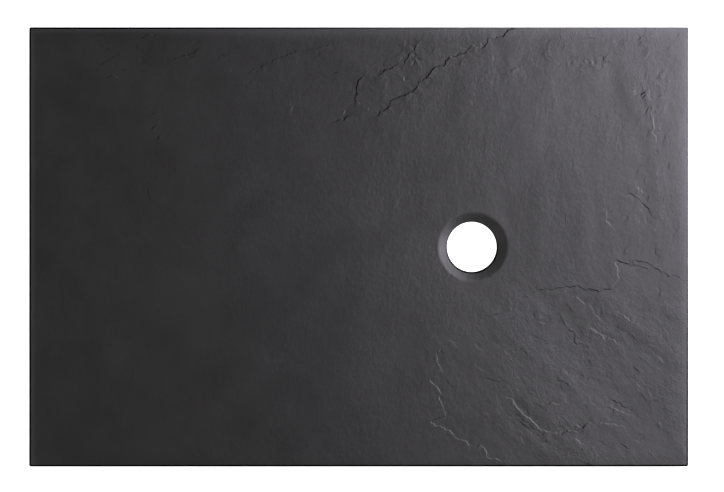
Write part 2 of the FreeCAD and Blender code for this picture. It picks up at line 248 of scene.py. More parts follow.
# Patches where the top layer has flaked: middle and spread in millimetres, heading of the flakes
# in degrees, and their number. The jitter spreads their headings, in degrees.
FLAKES = (
    ((98, 340), (26, 36), 60, 34),
    ((40, 300), (60, 40), 45, 34),
    ((170, 350), (90, 24), 35, 20),
    ((425, 336), (30, 14), 20, 12),
    ((262, 322), (60, 22), 28, 30),
    ((470, 360), (90, 30), 30, 14),
    ((530, 270), (40, 90), 70, 34),
    ((520, 90), (60, 80), 70, 22),
    ((470, -292), (44, 18), -25, 16),
    ((385, -336), (44, 12), 15, 20),
    ((450, -150), (80, 50), -42, 34),
    ((430, -250), (110, 50), -35, 30),
    ((540, -200), (40, 110), -45, 20),
    ((300, -305), (50, 50), -40, 22),
    ((340, -130), (60, 30), -35, 12),
    ((150, -270), (18, 50), 80, 9),
    ((480, -370), (90, 14), -20, 12),
    ((-20, 345), (120, 30), 15, 14),
    ((-400, 335), (60, 40), 12, 20),
    ((-300, 350), (120, 30), 18, 16),
    ((-180, 320), (90, 40), 24, 16),
    ((-370, 235), (30, 40), 50, 10),
)
FLAKE_JITTER = 24
FLAKE_LENGTH_MM = (7, 22)
FLAKE_STEP_MM = (0.05, 0.20)

# Patches of long faint streaks, where the layers end one after the other, with the same values.
STREAKS = (
    ((430, -150), (130, 60), -40, 30),
    ((500, -230), (90, 110), -42, 34),
    ((380, -230), (110, 90), -38, 26),
    ((330, -330), (120, 50), -32, 16),
    ((470, -350), (120, 40), -28, 14),
    ((230, -200), (90, 80), -45, 8),
    ((60, 330), (150, 50), 38, 16),
    ((330, 320), (170, 60), 30, 18),
    ((540, 230), (40, 160), 74, 16),
    ((560, 0), (30, 160), 80, 8),
)
STREAK_JITTER = 9
STREAK_LENGTH_MM = (16, 52)
STREAK_STEP_MM = (0.05, 0.17)

# how far a flake or a streak bows at most, as a share of its half length
BOW = 0.3

# Broad forms under the clefts: middle, half length, half width on the left of the heading and on
# its right, heading of the length in degrees, and height in millimetres. Below nought is a hollow.
FOLDS = (
    ((506, 255), (80, 15, 60), 112, 1.00),
    ((545, 120), (70, 17, 30), 98, 0.60),
    ((455, 300), (60, 40, 22), 60, -0.40),
    ((330, 45), (75, 15, 26), 88, 0.50),
    ((412, 20), (85, 16, 28), 86, 0.50),
    ((300, 215), (90, 22, 40), 76, 0.50),
    ((190, 250), (70, 20, 36), 70, 0.45),
    ((150, 112), (45, 18, 30), 70, 0.40),
    ((66, 84), (22, 10, 14), 80, 0.22),
    ((395, -150), (150, 42, 42), -38, -0.55),
    ((515, -205), (100, 24, 24), -40, -0.35),
    ((572, -250), (90, 16, 30), 92, 0.60),
    ((455, -325), (90, 26, 15), -30, 0.55),
    ((300, -305), (75, 24, 24), -45, -0.40),
    ((540, -370), (60, 24, 15), -50, 0.45),
    ((75, -200), (60, 30, 38), 75, -0.40),
    ((215, 330), (150, 22, 22), 32, 0.40),
    ((60, 300), (80, 26, 26), 48, 0.35),
)

# Swells: shortest and longest wave in millimetres, heading of the crests and how far it
# spreads in degrees, tilt of each wave in degrees, and how many waves. The last two kinds are
# for the stone's rough side, and rise over these stretches of x and of -y.
SWELLS = {
    "everywhere": ((90, 420), (0, 180), 0.13, 18),
    "right": ((28, 90), (82, 22), 0.24, 16),
    "low_right": ((24, 90), (-42, 16), 0.30, 16),
}
ROUGH_RISE = (0.02, 0.34)
LOW_RISE = (0.0, 0.12)


def jogs(rng, run, pitch, size):
    """Random sideways jogs along a line, with one knot about every pitch."""
    knots = np.arange(run[0], run[-1] + 2 * pitch, pitch)
    return np.interp(run, knots, rng.normal(0, size, len(knots)))


def split_line(points, rng, pitch):
    """A cleft's line with the small jogs of split stone: its places, its drop side, its steps."""
    path = np.array(points, float) * MM
    legs = np.hypot(*np.diff(path[:, :2], axis=0).T)
    along = np.concatenate([[0], np.cumsum(legs)])
    count = max(4, round(along[-1] / pitch) + 1)
    run = np.linspace(0, along[-1], count)
    x, y, step = (np.interp(run, along, path[:, axis]) for axis in range(3))
    line = np.column_stack([x, y])
    sideways = drop_side(line)
    fade = np.minimum(1, np.minimum(run, along[-1] - run) / LINE_FADE)
    jog = jogs(rng, run, *COARSE_JOG) + jogs(rng, run, *FINE_JOG)
    line = line + sideways * (jog * fade)[:, None]
    step = CLEFT_SCALE * step * np.clip(1 + jogs(rng, run, *STEP_JOG), *STEP_JOG_LIMITS)
    return line, drop_side(line), step


def drop_side(line):
    """Unit vectors to the right-hand side of a line, at its points."""
    heading = np.gradient(line, axis=0)
    heading /= np.hypot(*heading.T)[:, None]
    return np.column_stack([heading[:, 1], -heading[:, 0]])


def scattered(rng, patches, jitter, lengths, steps):
    """Short clefts, scattered over patches. Jitter spreads their headings, in degrees."""
    for (x, y), (spread_x, spread_y), heading, count in patches:
        for _ in range(count):
            middle = np.array([rng.normal(x, spread_x / 2), rng.normal(y, spread_y / 2)])
            turn = math.radians(rng.normal(heading, jitter)) + math.pi * rng.integers(0, 2)
            half = rng.uniform(*lengths) / 2
            ends = np.array([math.cos(turn), math.sin(turn)]) * half
            bow = np.array([-ends[1], ends[0]]) * rng.uniform(-BOW, BOW)
            step = rng.uniform(*steps)
            yield ((*(middle - ends), 0), (*(middle + bow), step), (*(middle + ends), 0))


def make_clefts():
    """The named clefts, and the fine flakes and streaks, as split lines."""
    rng = np.random.default_rng(CLEFT_SEED)
    flakes = list(scattered(rng, FLAKES, FLAKE_JITTER, FLAKE_LENGTH_MM, FLAKE_STEP_MM))
    streaks = list(scattered(rng, STREAKS, STREAK_JITTER, STREAK_LENGTH_MM, STREAK_STEP_MM))
    named = [split_line(points, rng, CLEFT_PITCH) for points in CLEFTS.values()]
    return named, [split_line(points, rng, FINE_PITCH) for points in flakes + streaks]


def cleft_relief(places, cleft):
    """How far one cleft raises or lowers the surface at these places, and the shade and highlight
    painted along it.
    """
    line, sideways, step = cleft
    height = np.zeros(len(places))
    shade = np.zeros(len(places))
    low = line.min(axis=0) - CLEFT_LIMIT
    high = line.max(axis=0) + CLEFT_LIMIT
    near = np.flatnonzero(((places > low) & (places < high)).all(axis=1))
    start = line[:-1]
    leg = line[1:] - start
    leg_square = (leg ** 2).sum(axis=1)
    for block in np.array_split(near, len(near) // BLOCK + 1):
        offset = places[block][:, None] - start
        share = np.clip((offset * leg).sum(axis=2) / leg_square, 0, 1)
        gap = offset - share[:, :, None] * leg
        nearest = (gap ** 2).sum(axis=2).argmin(axis=1)
        row = np.arange(len(block))
        share = share[row, nearest][:, None]
        gap = gap[row, nearest]
        outward = sideways[nearest] * (1 - share) + sideways[nearest + 1] * share
        share = share[:, 0]
        rise = step[nearest] * (1 - share) + step[nearest + 1] * share
        distance = np.hypot(*gap.T) * np.sign((gap * outward).sum(axis=1))
        height[block] = rise * cleft_profile(distance)
        strength = np.clip(rise / CREVICE_STEP, 0, 1)
        reach = CREVICE_REACH * (CREVICE_NARROW + (1 - CREVICE_NARROW) * strength)
        away = np.abs(distance - CREVICE_MIDDLE) / reach
        # Painted light: a step that drops away from the key light gets painted shade, one that drops
        # towards it a painted highlight.
        facing_light = CLEFT_SHADE_SWING * outward @ np.array(LIT_SIDE)
        shade_or_highlight = np.clip(CLEFT_SHADE_MEAN - facing_light, BRIGHTEST_CLEFT_HIGHLIGHT, 1)
        shade[block] = shade_or_highlight * strength * np.clip(CREVICE_EDGE * (1 - away), 0, 1)
    return height, shade


def cleft_profile(distance):
    """A step of height one: the high side, the broken face and the low side."""
    upper = 0.5 * np.exp(np.minimum(distance, 0) / CLEFT_REACH)
    lower = -0.5 * np.exp(-np.maximum(distance - CLEFT_FACE, 0) / CLEFT_REACH)
    face = 0.5 - distance / CLEFT_FACE
    return np.where(distance < 0, upper, np.where(distance > CLEFT_FACE, lower, face))


def waves(places, rng, lengths, crests, tilt, count):
    """A sum of shallow waves whose crests lie about one heading."""
    height = np.zeros(len(places))
    for _ in range(count):
        wave = rng.uniform(*lengths) * MM
        turn = math.radians(crests[0] + 90 + rng.uniform(-1, 1) * crests[1])
        across = places @ np.array([math.cos(turn), math.sin(turn)])
        phase = rng.uniform(0, 2 * math.pi)
        crest = math.radians(tilt) * wave / (2 * math.pi)
        height += crest * np.cos(2 * math.pi * across / wave + phase)
    return height


def folds(places):
    """The broad ridges and hollows, steeper on one side than on the other."""
    height = np.zeros(len(places))
    for middle, (half_length, left, right), heading, rise in FOLDS:
        turn = math.radians(heading)
        offset = places - np.array(middle) * MM
        along = offset @ np.array([math.cos(turn), math.sin(turn)]) / (half_length * MM)
        across = offset @ np.array([-math.sin(turn), math.cos(turn)])
        across /= np.where(across > 0, left, right) * MM
        height += rise * MM * np.exp(-along ** 2 - across ** 2)
    return height


def swell_height(places):
    """The stone's shallow forms: broad everywhere, and closer together on its rough side."""
    rng = np.random.default_rng(SWELL_SEED)
    everywhere, right, low_right = (waves(places, rng, *kind) for kind in SWELLS.values())
    x, y = places.T
    rough = smooth_step(x, *ROUGH_RISE)
    low = smooth_step(-y, *LOW_RISE)
    return everywhere + folds(places) + rough * (low * low_right + (1 - low) * right)


# ---------------------------------------------------------------- heights of the skins

def blend_min(a, b, softness):
    """The smaller of two heights, rounded where they are within softness of each other."""
    overlap = np.maximum(softness - np.abs(a - b), 0) / softness
    return np.minimum(a, b) - overlap ** 2 * softness / 4


def smooth_step(value, low, high):
    """Nought below low, one above high, and smooth between."""
    share = np.clip((value - low) / (high - low), 0, 1)
    return share * share * (3 - 2 * share)


def waste_distance(places):
    """How far these places lie from the waste's axis."""
    return np.hypot(places[:, 0] - WASTE_X, places[:, 1])


def fall_depths(places):
    """The depth of each of the four falls at these places, unbounded."""
    x, y = places.T
    east = LENGTH / 2 - RIM
    north = WIDTH / 2 - RIM
    yield FALL * (east - x) / (east - WASTE_X - FOOT_HALF)
    yield FALL * (east + x) / (east + WASTE_X - FOOT_HALF)
    yield FALL * (north - y) / (north - FOOT_HALF)
    yield FALL * (north + y) / (north - FOOT_HALF)


def floor_height(places):
    """The rim and the four falls, with soft bends between them."""
    east, west, north, south = fall_depths(places)
    depth = blend_min(blend_min(east, west, VALLEY_BLEND),
                      blend_min(north, south, VALLEY_BLEND), VALLEY_BLEND)
    bend = (depth + RIM_BLEND) ** 2 / (4 * RIM_BLEND)
    depth = np.where(depth < -RIM_BLEND, 0, np.where(depth > RIM_BLEND, depth, bend))
    return RIM_TOP - np.minimum(depth, FALL)


def rim_crown(places):
    """How far the rim's outer strip curves down towards the tray's edge."""
    inset = (np.array([LENGTH, WIDTH]) / 2 - np.abs(places)).min(axis=1)
    return CROWN_DROP * np.clip(1 - inset / CROWN_WIDTH, 0, 1) ** CROWN_POWER


def seat_height(radius):
    """The dished seat of the waste."""
    return RIM_TOP - FALL + (radius - SEAT_RADIUS) * math.tan(SEAT_SLOPE)


def plain_height(places):
    """The tray's top without relief."""
    softness = LIP_REACH * math.tan(SEAT_SLOPE)
    return blend_min(floor_height(places), seat_height(waste_distance(places)), softness)


def top_relief(places):
    """Height of the split slate, and shade and highlight painted along its clefts; both end before
    the waste's seat.
    """
    height = swell_height(places) - rim_crown(places)
    shade = np.zeros(len(places))
    for cleft in clefts + fine_clefts:
        lift, split = cleft_relief(places, cleft)
        height += lift
        shade = np.where(np.abs(split) > np.abs(shade), split, shade)
    fade = smooth_step(waste_distance(places), *SEAT_FADE)
    return np.clip(height, *RELIEF_LIMITS) * fade, shade * fade


def lining_height(places):
    """The coat's inner face, on the casting."""
    slant = np.where(waste_distance(places) < SEAT_RADIUS, math.cos(SEAT_SLOPE), 1)
    return plain_height(places) - COAT / slant


# ---------------------------------------------------------------- loops and points in plan

def rim_loop(inset):
    """Places round the tray, that far in from its edge. Every inset has the same order."""
    radius = CORNER - inset
    middle = np.array([LENGTH / 2 - CORNER, WIDTH / 2 - CORNER])
    places = []
    for corner, signs in enumerate(CORNER_SIGNS):
        turns = np.radians(90 * corner + np.linspace(0, 90, CORNER_POINTS))
        round_corner = radius * np.column_stack([np.cos(turns), np.sin(turns)])
        arc = middle * signs + round_corner
        ahead = middle * CORNER_SIGNS[(corner + 1) % 4] + round_corner[-1]
        gap = ahead - arc[-1]
        shares = np.linspace(0, 1, round(np.hypot(*gap) / OUTLINE_PITCH) + 1)[1:-1]
        places += [*arc, *(arc[-1] + share * gap for share in shares)]
    return np.array(places)


def hole_loop(radius, turned=0.0):
    """Places on a circle about the waste's axis."""
    turns = (np.arange(HOLE_POINTS) + turned) * 2 * math.pi / HOLE_POINTS
    return np.column_stack([WASTE_X + radius * np.cos(turns), radius * np.sin(turns)])


def lattice(pitch, margin, clear):
    """Staggered, slightly uneven places over the tray, clear of its edge and of the waste."""
    rng = np.random.default_rng(LATTICE_SEED)
    row_pitch = pitch * math.sqrt(3) / 2
    half_x = LENGTH / 2 - margin
    half_y = WIDTH / 2 - margin
    xs = np.arange(-half_x, half_x, pitch)
    ys = np.arange(-half_y, half_y, row_pitch)
    x, y = np.meshgrid(xs, ys)
    x[1::2] += pitch / 2
    places = np.column_stack([x.ravel(), y.ravel()])
    places += rng.uniform(-LATTICE_JITTER, LATTICE_JITTER, places.shape) * pitch
    inside = (np.abs(places) < (half_x + pitch / 3, half_y + pitch / 3)).all(axis=1)
    return places[inside & (waste_distance(places) > clear)]


def cleft_rows():
    """Rows of places along every cleft, so that its edges stay crisp."""
    rows = []
    for lines, offsets in ((clefts, CLEFT_ROWS_MM), (fine_clefts, FINE_ROWS_MM)):
        rows += [line + sideways * offset * MM for line, sideways, _ in lines for offset in offsets]
    places = np.vstack(rows)
    inside = (np.abs(places) < np.array([LENGTH, WIDTH]) / 2 - EDGE - ROW_MARGIN).all(axis=1)
    return places[inside & (waste_distance(places) > SEAT_CLEAR)]


# ---------------------------------------------------------------- the shell

class Shell:
    """Vertices and faces of a closed shell, built from loops, strips and skins."""

    def __init__(self):
        self.places = []
        self.shades = []
        self.faces = []

    def add(self, plan, heights, shades=0.0):
        """New vertices over these places, as a list of their numbers."""
        first = len(self.places)
        self.places += np.column_stack([plan, np.broadcast_to(heights, len(plan))]).tolist()
        self.shades += np.broadcast_to(shades, len(plan)).tolist()
        return list(range(first, len(self.places)))

    def add_top(self, plan):
        """New vertices of the top skin over these places, with the relief of the slate."""
        relief, shades = top_relief(plan)
        return self.add(plan, plain_height(plan) + relief, shades)

    def strip(self, upper, lower):
        """Quads from one closed loop to the next. Seen from outside, the loops run leftwards."""
        count = len(upper)
        for i in range(count):
            j = (i + 1) % count
            self.faces.append((upper[i], lower[i], lower[j], upper[j]))

    def strips(self, loops):
        """Strips from each loop to the next."""
        for upper, lower in zip(loops, loops[1:]):
            self.strip(upper, lower)

    def skin(self, rim, hole, loose, upwards):
        """A triangulated skin between the rim's loop and the hole's, through the loose points."""
        used = rim + hole + loose
        plan = [Vector(self.places[i][:2]) for i in used]
        first = len(rim)
        rim_edges = [(i, (i + 1) % first) for i in range(first)]
        hole_edges = [(first + i, first + (i + 1) % len(hole)) for i in range(len(hole))]
        _, _, faces, sources, _, _ = delaunay_2d_cdt(plan, rim_edges + hole_edges, [], 0, 1e-7, True)
        holes = set(hole)
        for face in faces:
            corners = [used[sources[i][0]] for i in face]
            if not holes.issuperset(corners):
                self.faces.append(corners if upwards else corners[::-1])

    def to_object(self, name):
        """The finished piece, with the shade and highlight painted along its clefts as an attribute.
        """
        mesh = bpy.data.meshes.new(name)
        mesh.from_pydata(self.places, [], self.faces)
        mesh.shade_smooth()
        crevice = mesh.attributes.new("crevice", "FLOAT", "POINT")
        crevice.data.foreach_set("value", self.shades)
        piece = bpy.data.objects.new(name, mesh)
        bpy.context.collection.objects.link(piece)
        return piece


def rim_strips(shell, top_loop, sag):
    """From the top skin's edge over the rounded rim and down the side to the hem's inner edge."""
    loops = [top_loop]
    for turn in np.radians(EDGE_TURNS):
        inset = EDGE * (1 - math.sin(turn))
        height = RIM_TOP - EDGE * (1 - math.cos(turn)) + sag * math.cos(turn)
        loops.append(shell.add(rim_loop(inset), height))
    for inset, height in (
            (0, RIM_TOP - EDGE - SUPPORT),
            *((inset * MM, HEM + over * MM) for inset, over in RIM_HEM_MM),
            (COAT, HEM),
            (COAT, RIM_TOP - EDGE)):
        loops.append(shell.add(rim_loop(inset), height))
    return loops


def hole_strips(shell, top_loop):
    """From the foot of the seat round into the hole's wall and down to the hem's inner edge."""
    centre_height = seat_height(HOLE_RADIUS + FOOT_RADIUS * (1 - math.sin(SEAT_SLOPE)))
    centre_height -= FOOT_RADIUS * math.cos(SEAT_SLOPE)
    loops = [top_loop]
    for turn in np.radians(FOOT_TURNS):
        radius = HOLE_RADIUS + FOOT_RADIUS * (1 - math.sin(turn))
        height = centre_height + FOOT_RADIUS * math.cos(turn)
        loops.append(shell.add(hole_loop(radius), height))
    for inset, height in (
            (0, centre_height - SUPPORT),
            *((inset * MM, HEM + over * MM) for inset, over in HOLE_HEM_MM),
            (COAT, HEM),
            (COAT, centre_height)):
        loops.append(shell.add(hole_loop(HOLE_RADIUS + inset), height))
    return loops


def make_gel_coat():
    """The gel coat as one closed shell."""
    shell = Shell()
    top_rim = shell.add_top(rim_loop(EDGE))
    sag = np.array([shell.places[i][2] for i in top_rim]) - RIM_TOP
    foot = HOLE_RADIUS + FOOT_RADIUS * (1 - math.sin(SEAT_SLOPE))
    top_hole = shell.add(hole_loop(foot), seat_height(foot))
    rings = [hole_loop(SEAT_RADIUS + outward * MM, 0.5 * (row % 2))
             for row, outward in enumerate(SEAT_RINGS_MM)]
    loose = lattice(SKIN_PITCH, EDGE + LATTICE_MARGIN, SEAT_CLEAR)
    plan = np.vstack([loose, cleft_rows(), *rings])
    shell.skin(top_rim, top_hole, shell.add_top(plan), upwards=True)

    sides = rim_strips(shell, top_rim, sag)
    walls = hole_strips(shell, top_hole)

    lining_rim_plan = rim_loop(EDGE)
    lining_rim = shell.add(lining_rim_plan, lining_height(lining_rim_plan))
    lining_hole_plan = hole_loop(HOLE_RADIUS + 2 * COAT)
    lining_hole = shell.add(lining_hole_plan, lining_height(lining_hole_plan))
    rings = [hole_loop(radius * MM) for radius in LINING_RINGS_MM]
    plan = np.vstack([lattice(LINING_PITCH, LINING_PITCH, SEAT_CLEAR), *rings])
    shell.skin(lining_rim, lining_hole, shell.add(plan, lining_height(plan)), upwards=False)

    shell.strips([*sides, lining_rim])
    for upper, lower in zip(walls, [*walls[1:], lining_hole]):
        shell.strip(lower, upper)
    return shell.to_object("slate_gel_coat")


# ---------------------------------------------------------------- shader maths

class Shade:
    """A socket of a material's node tree. Python's operators on it add Math nodes."""

    def __init__(self, tree, socket=None):
        self.tree = tree
        self.socket = socket

    def node(self, kind, settings=None, inputs=None, output=0):
        """A new node of that kind, with its settings first and then its sockets."""
        made = self.tree.nodes.new(kind)
        for name, value in (settings or {}).items():
            setattr(made, name, value)
        for name, value in (inputs or {}).items():
            if isinstance(value, Shade):
                self.tree.links.new(value.socket, made.inputs[name])
            else:
                made.inputs[name].default_value = value
        return Shade(self.tree, made.outputs[output])

    def maths(self, operation, *others):
        """A Math node on this value and the others."""
        inputs = dict(enumerate((self, *others)))
        return self.node("ShaderNodeMath", {"operation": operation}, inputs)

    def __add__(self, other):
        return self.maths("ADD", other)

    __radd__ = __add__

    def __mul__(self, other):
        return self.maths("MULTIPLY", other)

    __rmul__ = __mul__

    def __sub__(self, other):
        return self.maths("SUBTRACT", other)

    def __rsub__(self, other):
        return self.maths("MULTIPLY", -1) + other

    def layers(self, count, edge):
        """This value as a stack of thin layers: flat, with a steep edge from each to the next."""
        whole = (self * count).maths("FLOOR")
        part = self * count - whole
        return (whole + part.between(1 - edge, 1)) * (1 / count)

    def between(self, low, high):
        """Nought below low, one above high, and smooth between."""
        inputs = {"Value": self, "From Min": low, "From Max": high}
        return self.node("ShaderNodeMapRange", {"interpolation_type": "SMOOTHSTEP"}, inputs)

    def from_to(self, first, last):
        """The first value where this mask is nought, and the last one where it is one."""
        return self * (last - first) + first

    def colours(self, first, second):
        """A colour from the first to the second, as this value goes from nought to one."""
        first, second = (c if isinstance(c, Shade) else (*c, 1) for c in (first, second))
        return self.node("ShaderNodeMix", {"data_type": "RGBA"}, {0: self, 6: first, 7: second},
                         output=2)

    def axis(self, letter):
        """One coordinate of this vector."""
        return self.node("ShaderNodeSeparateXYZ", None, {0: self}, output="XYZ".index(letter))

    def from_upright(self, x, y):
        """How far this place lies from the upright line through x, y."""
        level = self.node("ShaderNodeVectorMath", {"operation": "MULTIPLY"}, {0: self, 1: (1, 1, 0)})
        return self.node("ShaderNodeVectorMath", {"operation": "DISTANCE"},
                         {0: level, 1: (x, y, 0)}, output=1)

    def noise(self, scale, detail=2.0, rough=0.5, warp=0.0):
        """Cloudy noise over this vector, as a value from nought to one."""
        inputs = {"Vector": self, "Scale": scale, "Detail": detail, "Roughness": rough,
                  "Distortion": warp}
        return self.node("ShaderNodeTexNoise", {"noise_dimensions": "3D"}, inputs)

    def turned(self, degrees, stretch):
        """This vector turned about Z and then stretched, for grain that runs one way."""
        rotation = (0, 0, math.radians(degrees))
        turned = self.node("ShaderNodeVectorRotate", {"rotation_type": "EULER_XYZ"},
                           {"Vector": self, "Rotation": rotation})
        return self.node("ShaderNodeVectorMath", {"operation": "MULTIPLY"}, {0: turned, 1: stretch})

    def grain(self, turn, stretch, **noise):
        """Noise drawn out along one heading: the smaller the stretch, the longer the grain."""
        return self.turned(turn, (1, stretch, 1)).noise(**noise)


def new_material(name):
    """An empty material and the starting point of its node tree."""
    material = bpy.data.materials.new(name)
    material.use_nodes = True
    material.node_tree.nodes.clear()
    start = Shade(material.node_tree)
    return material, start


def place_of(start):
    """The place on the piece, in metres of the tray's own frame."""
    return start.node("ShaderNodeTexCoord", output=3)


def finish_material(material, start, sockets, other=None, share=None):
    """A Principled surface with these sockets, or its mix with a share of another one."""
    surface = start.node("ShaderNodeBsdfPrincipled", None, sockets)
    if other is not None:
        second = start.node("ShaderNodeBsdfPrincipled", None, other)
        surface = start.node("ShaderNodeMixShader", None, {0: share, 1: surface, 2: second})
    output = material.node_tree.nodes.new("ShaderNodeOutputMaterial")
    material.node_tree.links.new(surface.socket, output.inputs["Surface"])
    return material


def bumped(start, height, distance, normal=None):
    """A normal from this height, which reaches from nought to one over that distance."""
    inputs = {"Height": height, "Distance": distance, "Strength": 1.0}
    if normal is not None:
        inputs["Normal"] = normal
    return start.node("ShaderNodeBump", None, inputs)


# ---------------------------------------------------------------- finish of the gel coat

# Grains of the split stone, and how high each one is bumped.
UPRIGHT = {"turn": 14, "stretch": 0.55, "scale": 100, "detail": 5, "rough": 0.68, "warp": 0.6}
SLANTING = {"turn": -44, "stretch": 0.72, "scale": 115, "detail": 6, "rough": 0.72, "warp": 0.6}
BRUSHED = {"turn": 62, "stretch": 0.25, "scale": 85, "detail": 4, "rough": 0.62, "warp": 0.5}
SPLITS = {"turn": -43, "stretch": 0.30, "scale": 24, "detail": 7, "rough": 0.66, "warp": 0.6}
LEATHER = {"turn": 16, "stretch": 0.75, "scale": 190, "detail": 5, "rough": 0.72}
SPLIT_LAYERS = (8, 0.16)
UPRIGHT_HEIGHT = 0.82 * MM
SLANTING_HEIGHT = 0.92 * MM
BRUSHED_HEIGHT = 0.64 * MM
SPLITS_HEIGHT = 1.0 * MM
LEATHER_HEIGHT = 0.52 * MM
PORE_HEIGHT = 0.02 * MM

# Where they lie: the stretch of x or y over which each mask rises. Then how strong the grain is
# from the calm side to the rough one, and from one patch to another.
ROUGH_X = (-0.45, 0.28)
LOW_CORNER_X = (0.15, 0.32)
LOW_CORNER_Y = (0.02, -0.12)
BRUSHED_Y = (0.02, 0.30)
ROUGH_GRAIN = (0.44, 0.78)
PATCH_GRAIN = (0.65, 1.35)

# The painted shade line along the tray's arris: its width along the tray's edges, its soft border,
# and the heights between which it sets in. The upper one ends to the right, and the right one is
# strongest at the bottom.
ARRIS = 3.9 * MM
ARRIS_FADE = 0.3 * MM
ARRIS_HEIGHTS = (RIM_TOP - 1.6 * EDGE, RIM_TOP - 1.2 * EDGE)
UPPER_ARRIS_X = (0.35, -0.30)
RIGHT_ARRIS_Y = (0.10, -0.30)
RIGHT_ARRIS = (0.2, 0.9)

# The same painted shade line round the waste hole, where its wall lies in shade. It lies a little
# off the hole's axis, and is strongest on the lower side, past a line of this slope.
LIP_LINE = 1.9 * MM
LIP_FADE = 0.3 * LIP_LINE
LIP_SHIFT = (-0.4 * MM, -1.0 * MM)
LIP_SLOPE = 0.3
LIP_RISE = (-0.01, 0.03)
LIP_STRENGTH = (0.6, 1.0)

# A paler strip painted along the tray's edges: its width and its share. Each factor makes it
# narrower: at the right edge in the lower half, at the upper edge towards the left, and at the left
# edge.
PALE_EDGE_WIDTH = (-6 * MM, 28 * MM)
PALE_EDGE_SHARE = 0.7
RIGHT_PALE_EDGE_Y = (-0.10, 0.15)
RIGHT_PALE_EDGE = (1.6, 1)
UPPER_PALE_EDGE_X = (-0.45, -0.15)
UPPER_PALE_EDGE = (2, 1)
LEFT_PALE_EDGE = 1.7

SLATE_TONES = ((.0150, .0145, .0140), (.0215, .0210, .0205))
# the colour of the paler strip along the edges
PALE_EDGE_COLOUR = (.050, .050, .051)
# painted shade in the clefts, and painted highlight on the steps that face the key light
CLEFT_SHADE_COLOUR = (.0010, .0010, .0010)
CLEFT_HIGHLIGHT_COLOUR = (.050, .050, .052)
# the black of the painted shade line along the edges and of the painted shadow in the clefts
SHADOW_COLOUR = (.001, .001, .001, 1)
SATIN = 0.43
CLOUD_ROUGHNESS = 0.05
PORE_ROUGHNESS = 0.08
CREVICE_ROUGHNESS = 0.35
# the share of that black in the clefts, as painted shadow
CREVICE_SHADOW = 0.9


def slate_normal(start, place, leather, pores):
    """The grains of split stone, laid over each other."""
    x, y = (place.axis(letter) for letter in "XY")
    patches = place.noise(scale=9, detail=3, rough=0.6).between(0.35, 0.65)
    rough = x.between(*ROUGH_X).from_to(*ROUGH_GRAIN) * patches.from_to(*PATCH_GRAIN)
    low_corner = y.between(*LOW_CORNER_Y) * x.between(*LOW_CORNER_X)
    upright = place.grain(**UPRIGHT) * rough * (1 - low_corner)
    slanting = place.grain(**SLANTING) * low_corner * rough
    brushed = place.grain(**BRUSHED) * y.between(*BRUSHED_Y)
    splits = place.grain(**SPLITS).layers(*SPLIT_LAYERS) * low_corner * patches
    normal = bumped(start, upright, UPRIGHT_HEIGHT)
    normal = bumped(start, slanting, SLANTING_HEIGHT, normal)
    normal = bumped(start, brushed, BRUSHED_HEIGHT, normal)
    normal = bumped(start, splits, SPLITS_HEIGHT, normal)
    normal = bumped(start, leather * rough, LEATHER_HEIGHT, normal)
    return bumped(start, pores, PORE_HEIGHT, normal)


def arris_shade_mask(place):
    """The painted shade line along the tray's edges and round the waste hole."""
    x, y, z = (place.axis(letter) for letter in "XYZ")
    insets = (LENGTH / 2 + x, WIDTH / 2 + y, WIDTH / 2 - y, LENGTH / 2 - x)
    left, lower, upper, right = (inset.between(ARRIS, ARRIS - ARRIS_FADE) for inset in insets)
    upper = upper * x.between(*UPPER_ARRIS_X)
    right = right * y.between(*RIGHT_ARRIS_Y).from_to(*RIGHT_ARRIS)
    edges = left.maths("MAXIMUM", lower).maths("MAXIMUM", upper).maths("MAXIMUM", right)
    to_axis = place.from_upright(WASTE_X + LIP_SHIFT[0], LIP_SHIFT[1])
    lip = 1 - to_axis.between(HOLE_RADIUS + LIP_LINE, HOLE_RADIUS + LIP_LINE + LIP_FADE)
    below = LIP_SLOPE * (x - WASTE_X) - y
    lip = lip * below.between(*LIP_RISE).from_to(*LIP_STRENGTH)
    return (edges * z.between(*ARRIS_HEIGHTS)).maths("MAXIMUM", lip)


def pale_edge_mask(place):
    """The paler strip along the tray's edges, except the lower one."""
    x, y = (place.axis(letter) for letter in "XY")
    to_right = (LENGTH / 2 - x) * y.between(*RIGHT_PALE_EDGE_Y).from_to(*RIGHT_PALE_EDGE)
    to_upper = (WIDTH / 2 - y) * x.between(*UPPER_PALE_EDGE_X).from_to(*UPPER_PALE_EDGE)
    to_left = (LENGTH / 2 + x) * LEFT_PALE_EDGE
    to_edge = to_right.maths("MINIMUM", to_upper).maths("MINIMUM", to_left)
    return to_edge.between(*PALE_EDGE_WIDTH).from_to(PALE_EDGE_SHARE, 0)


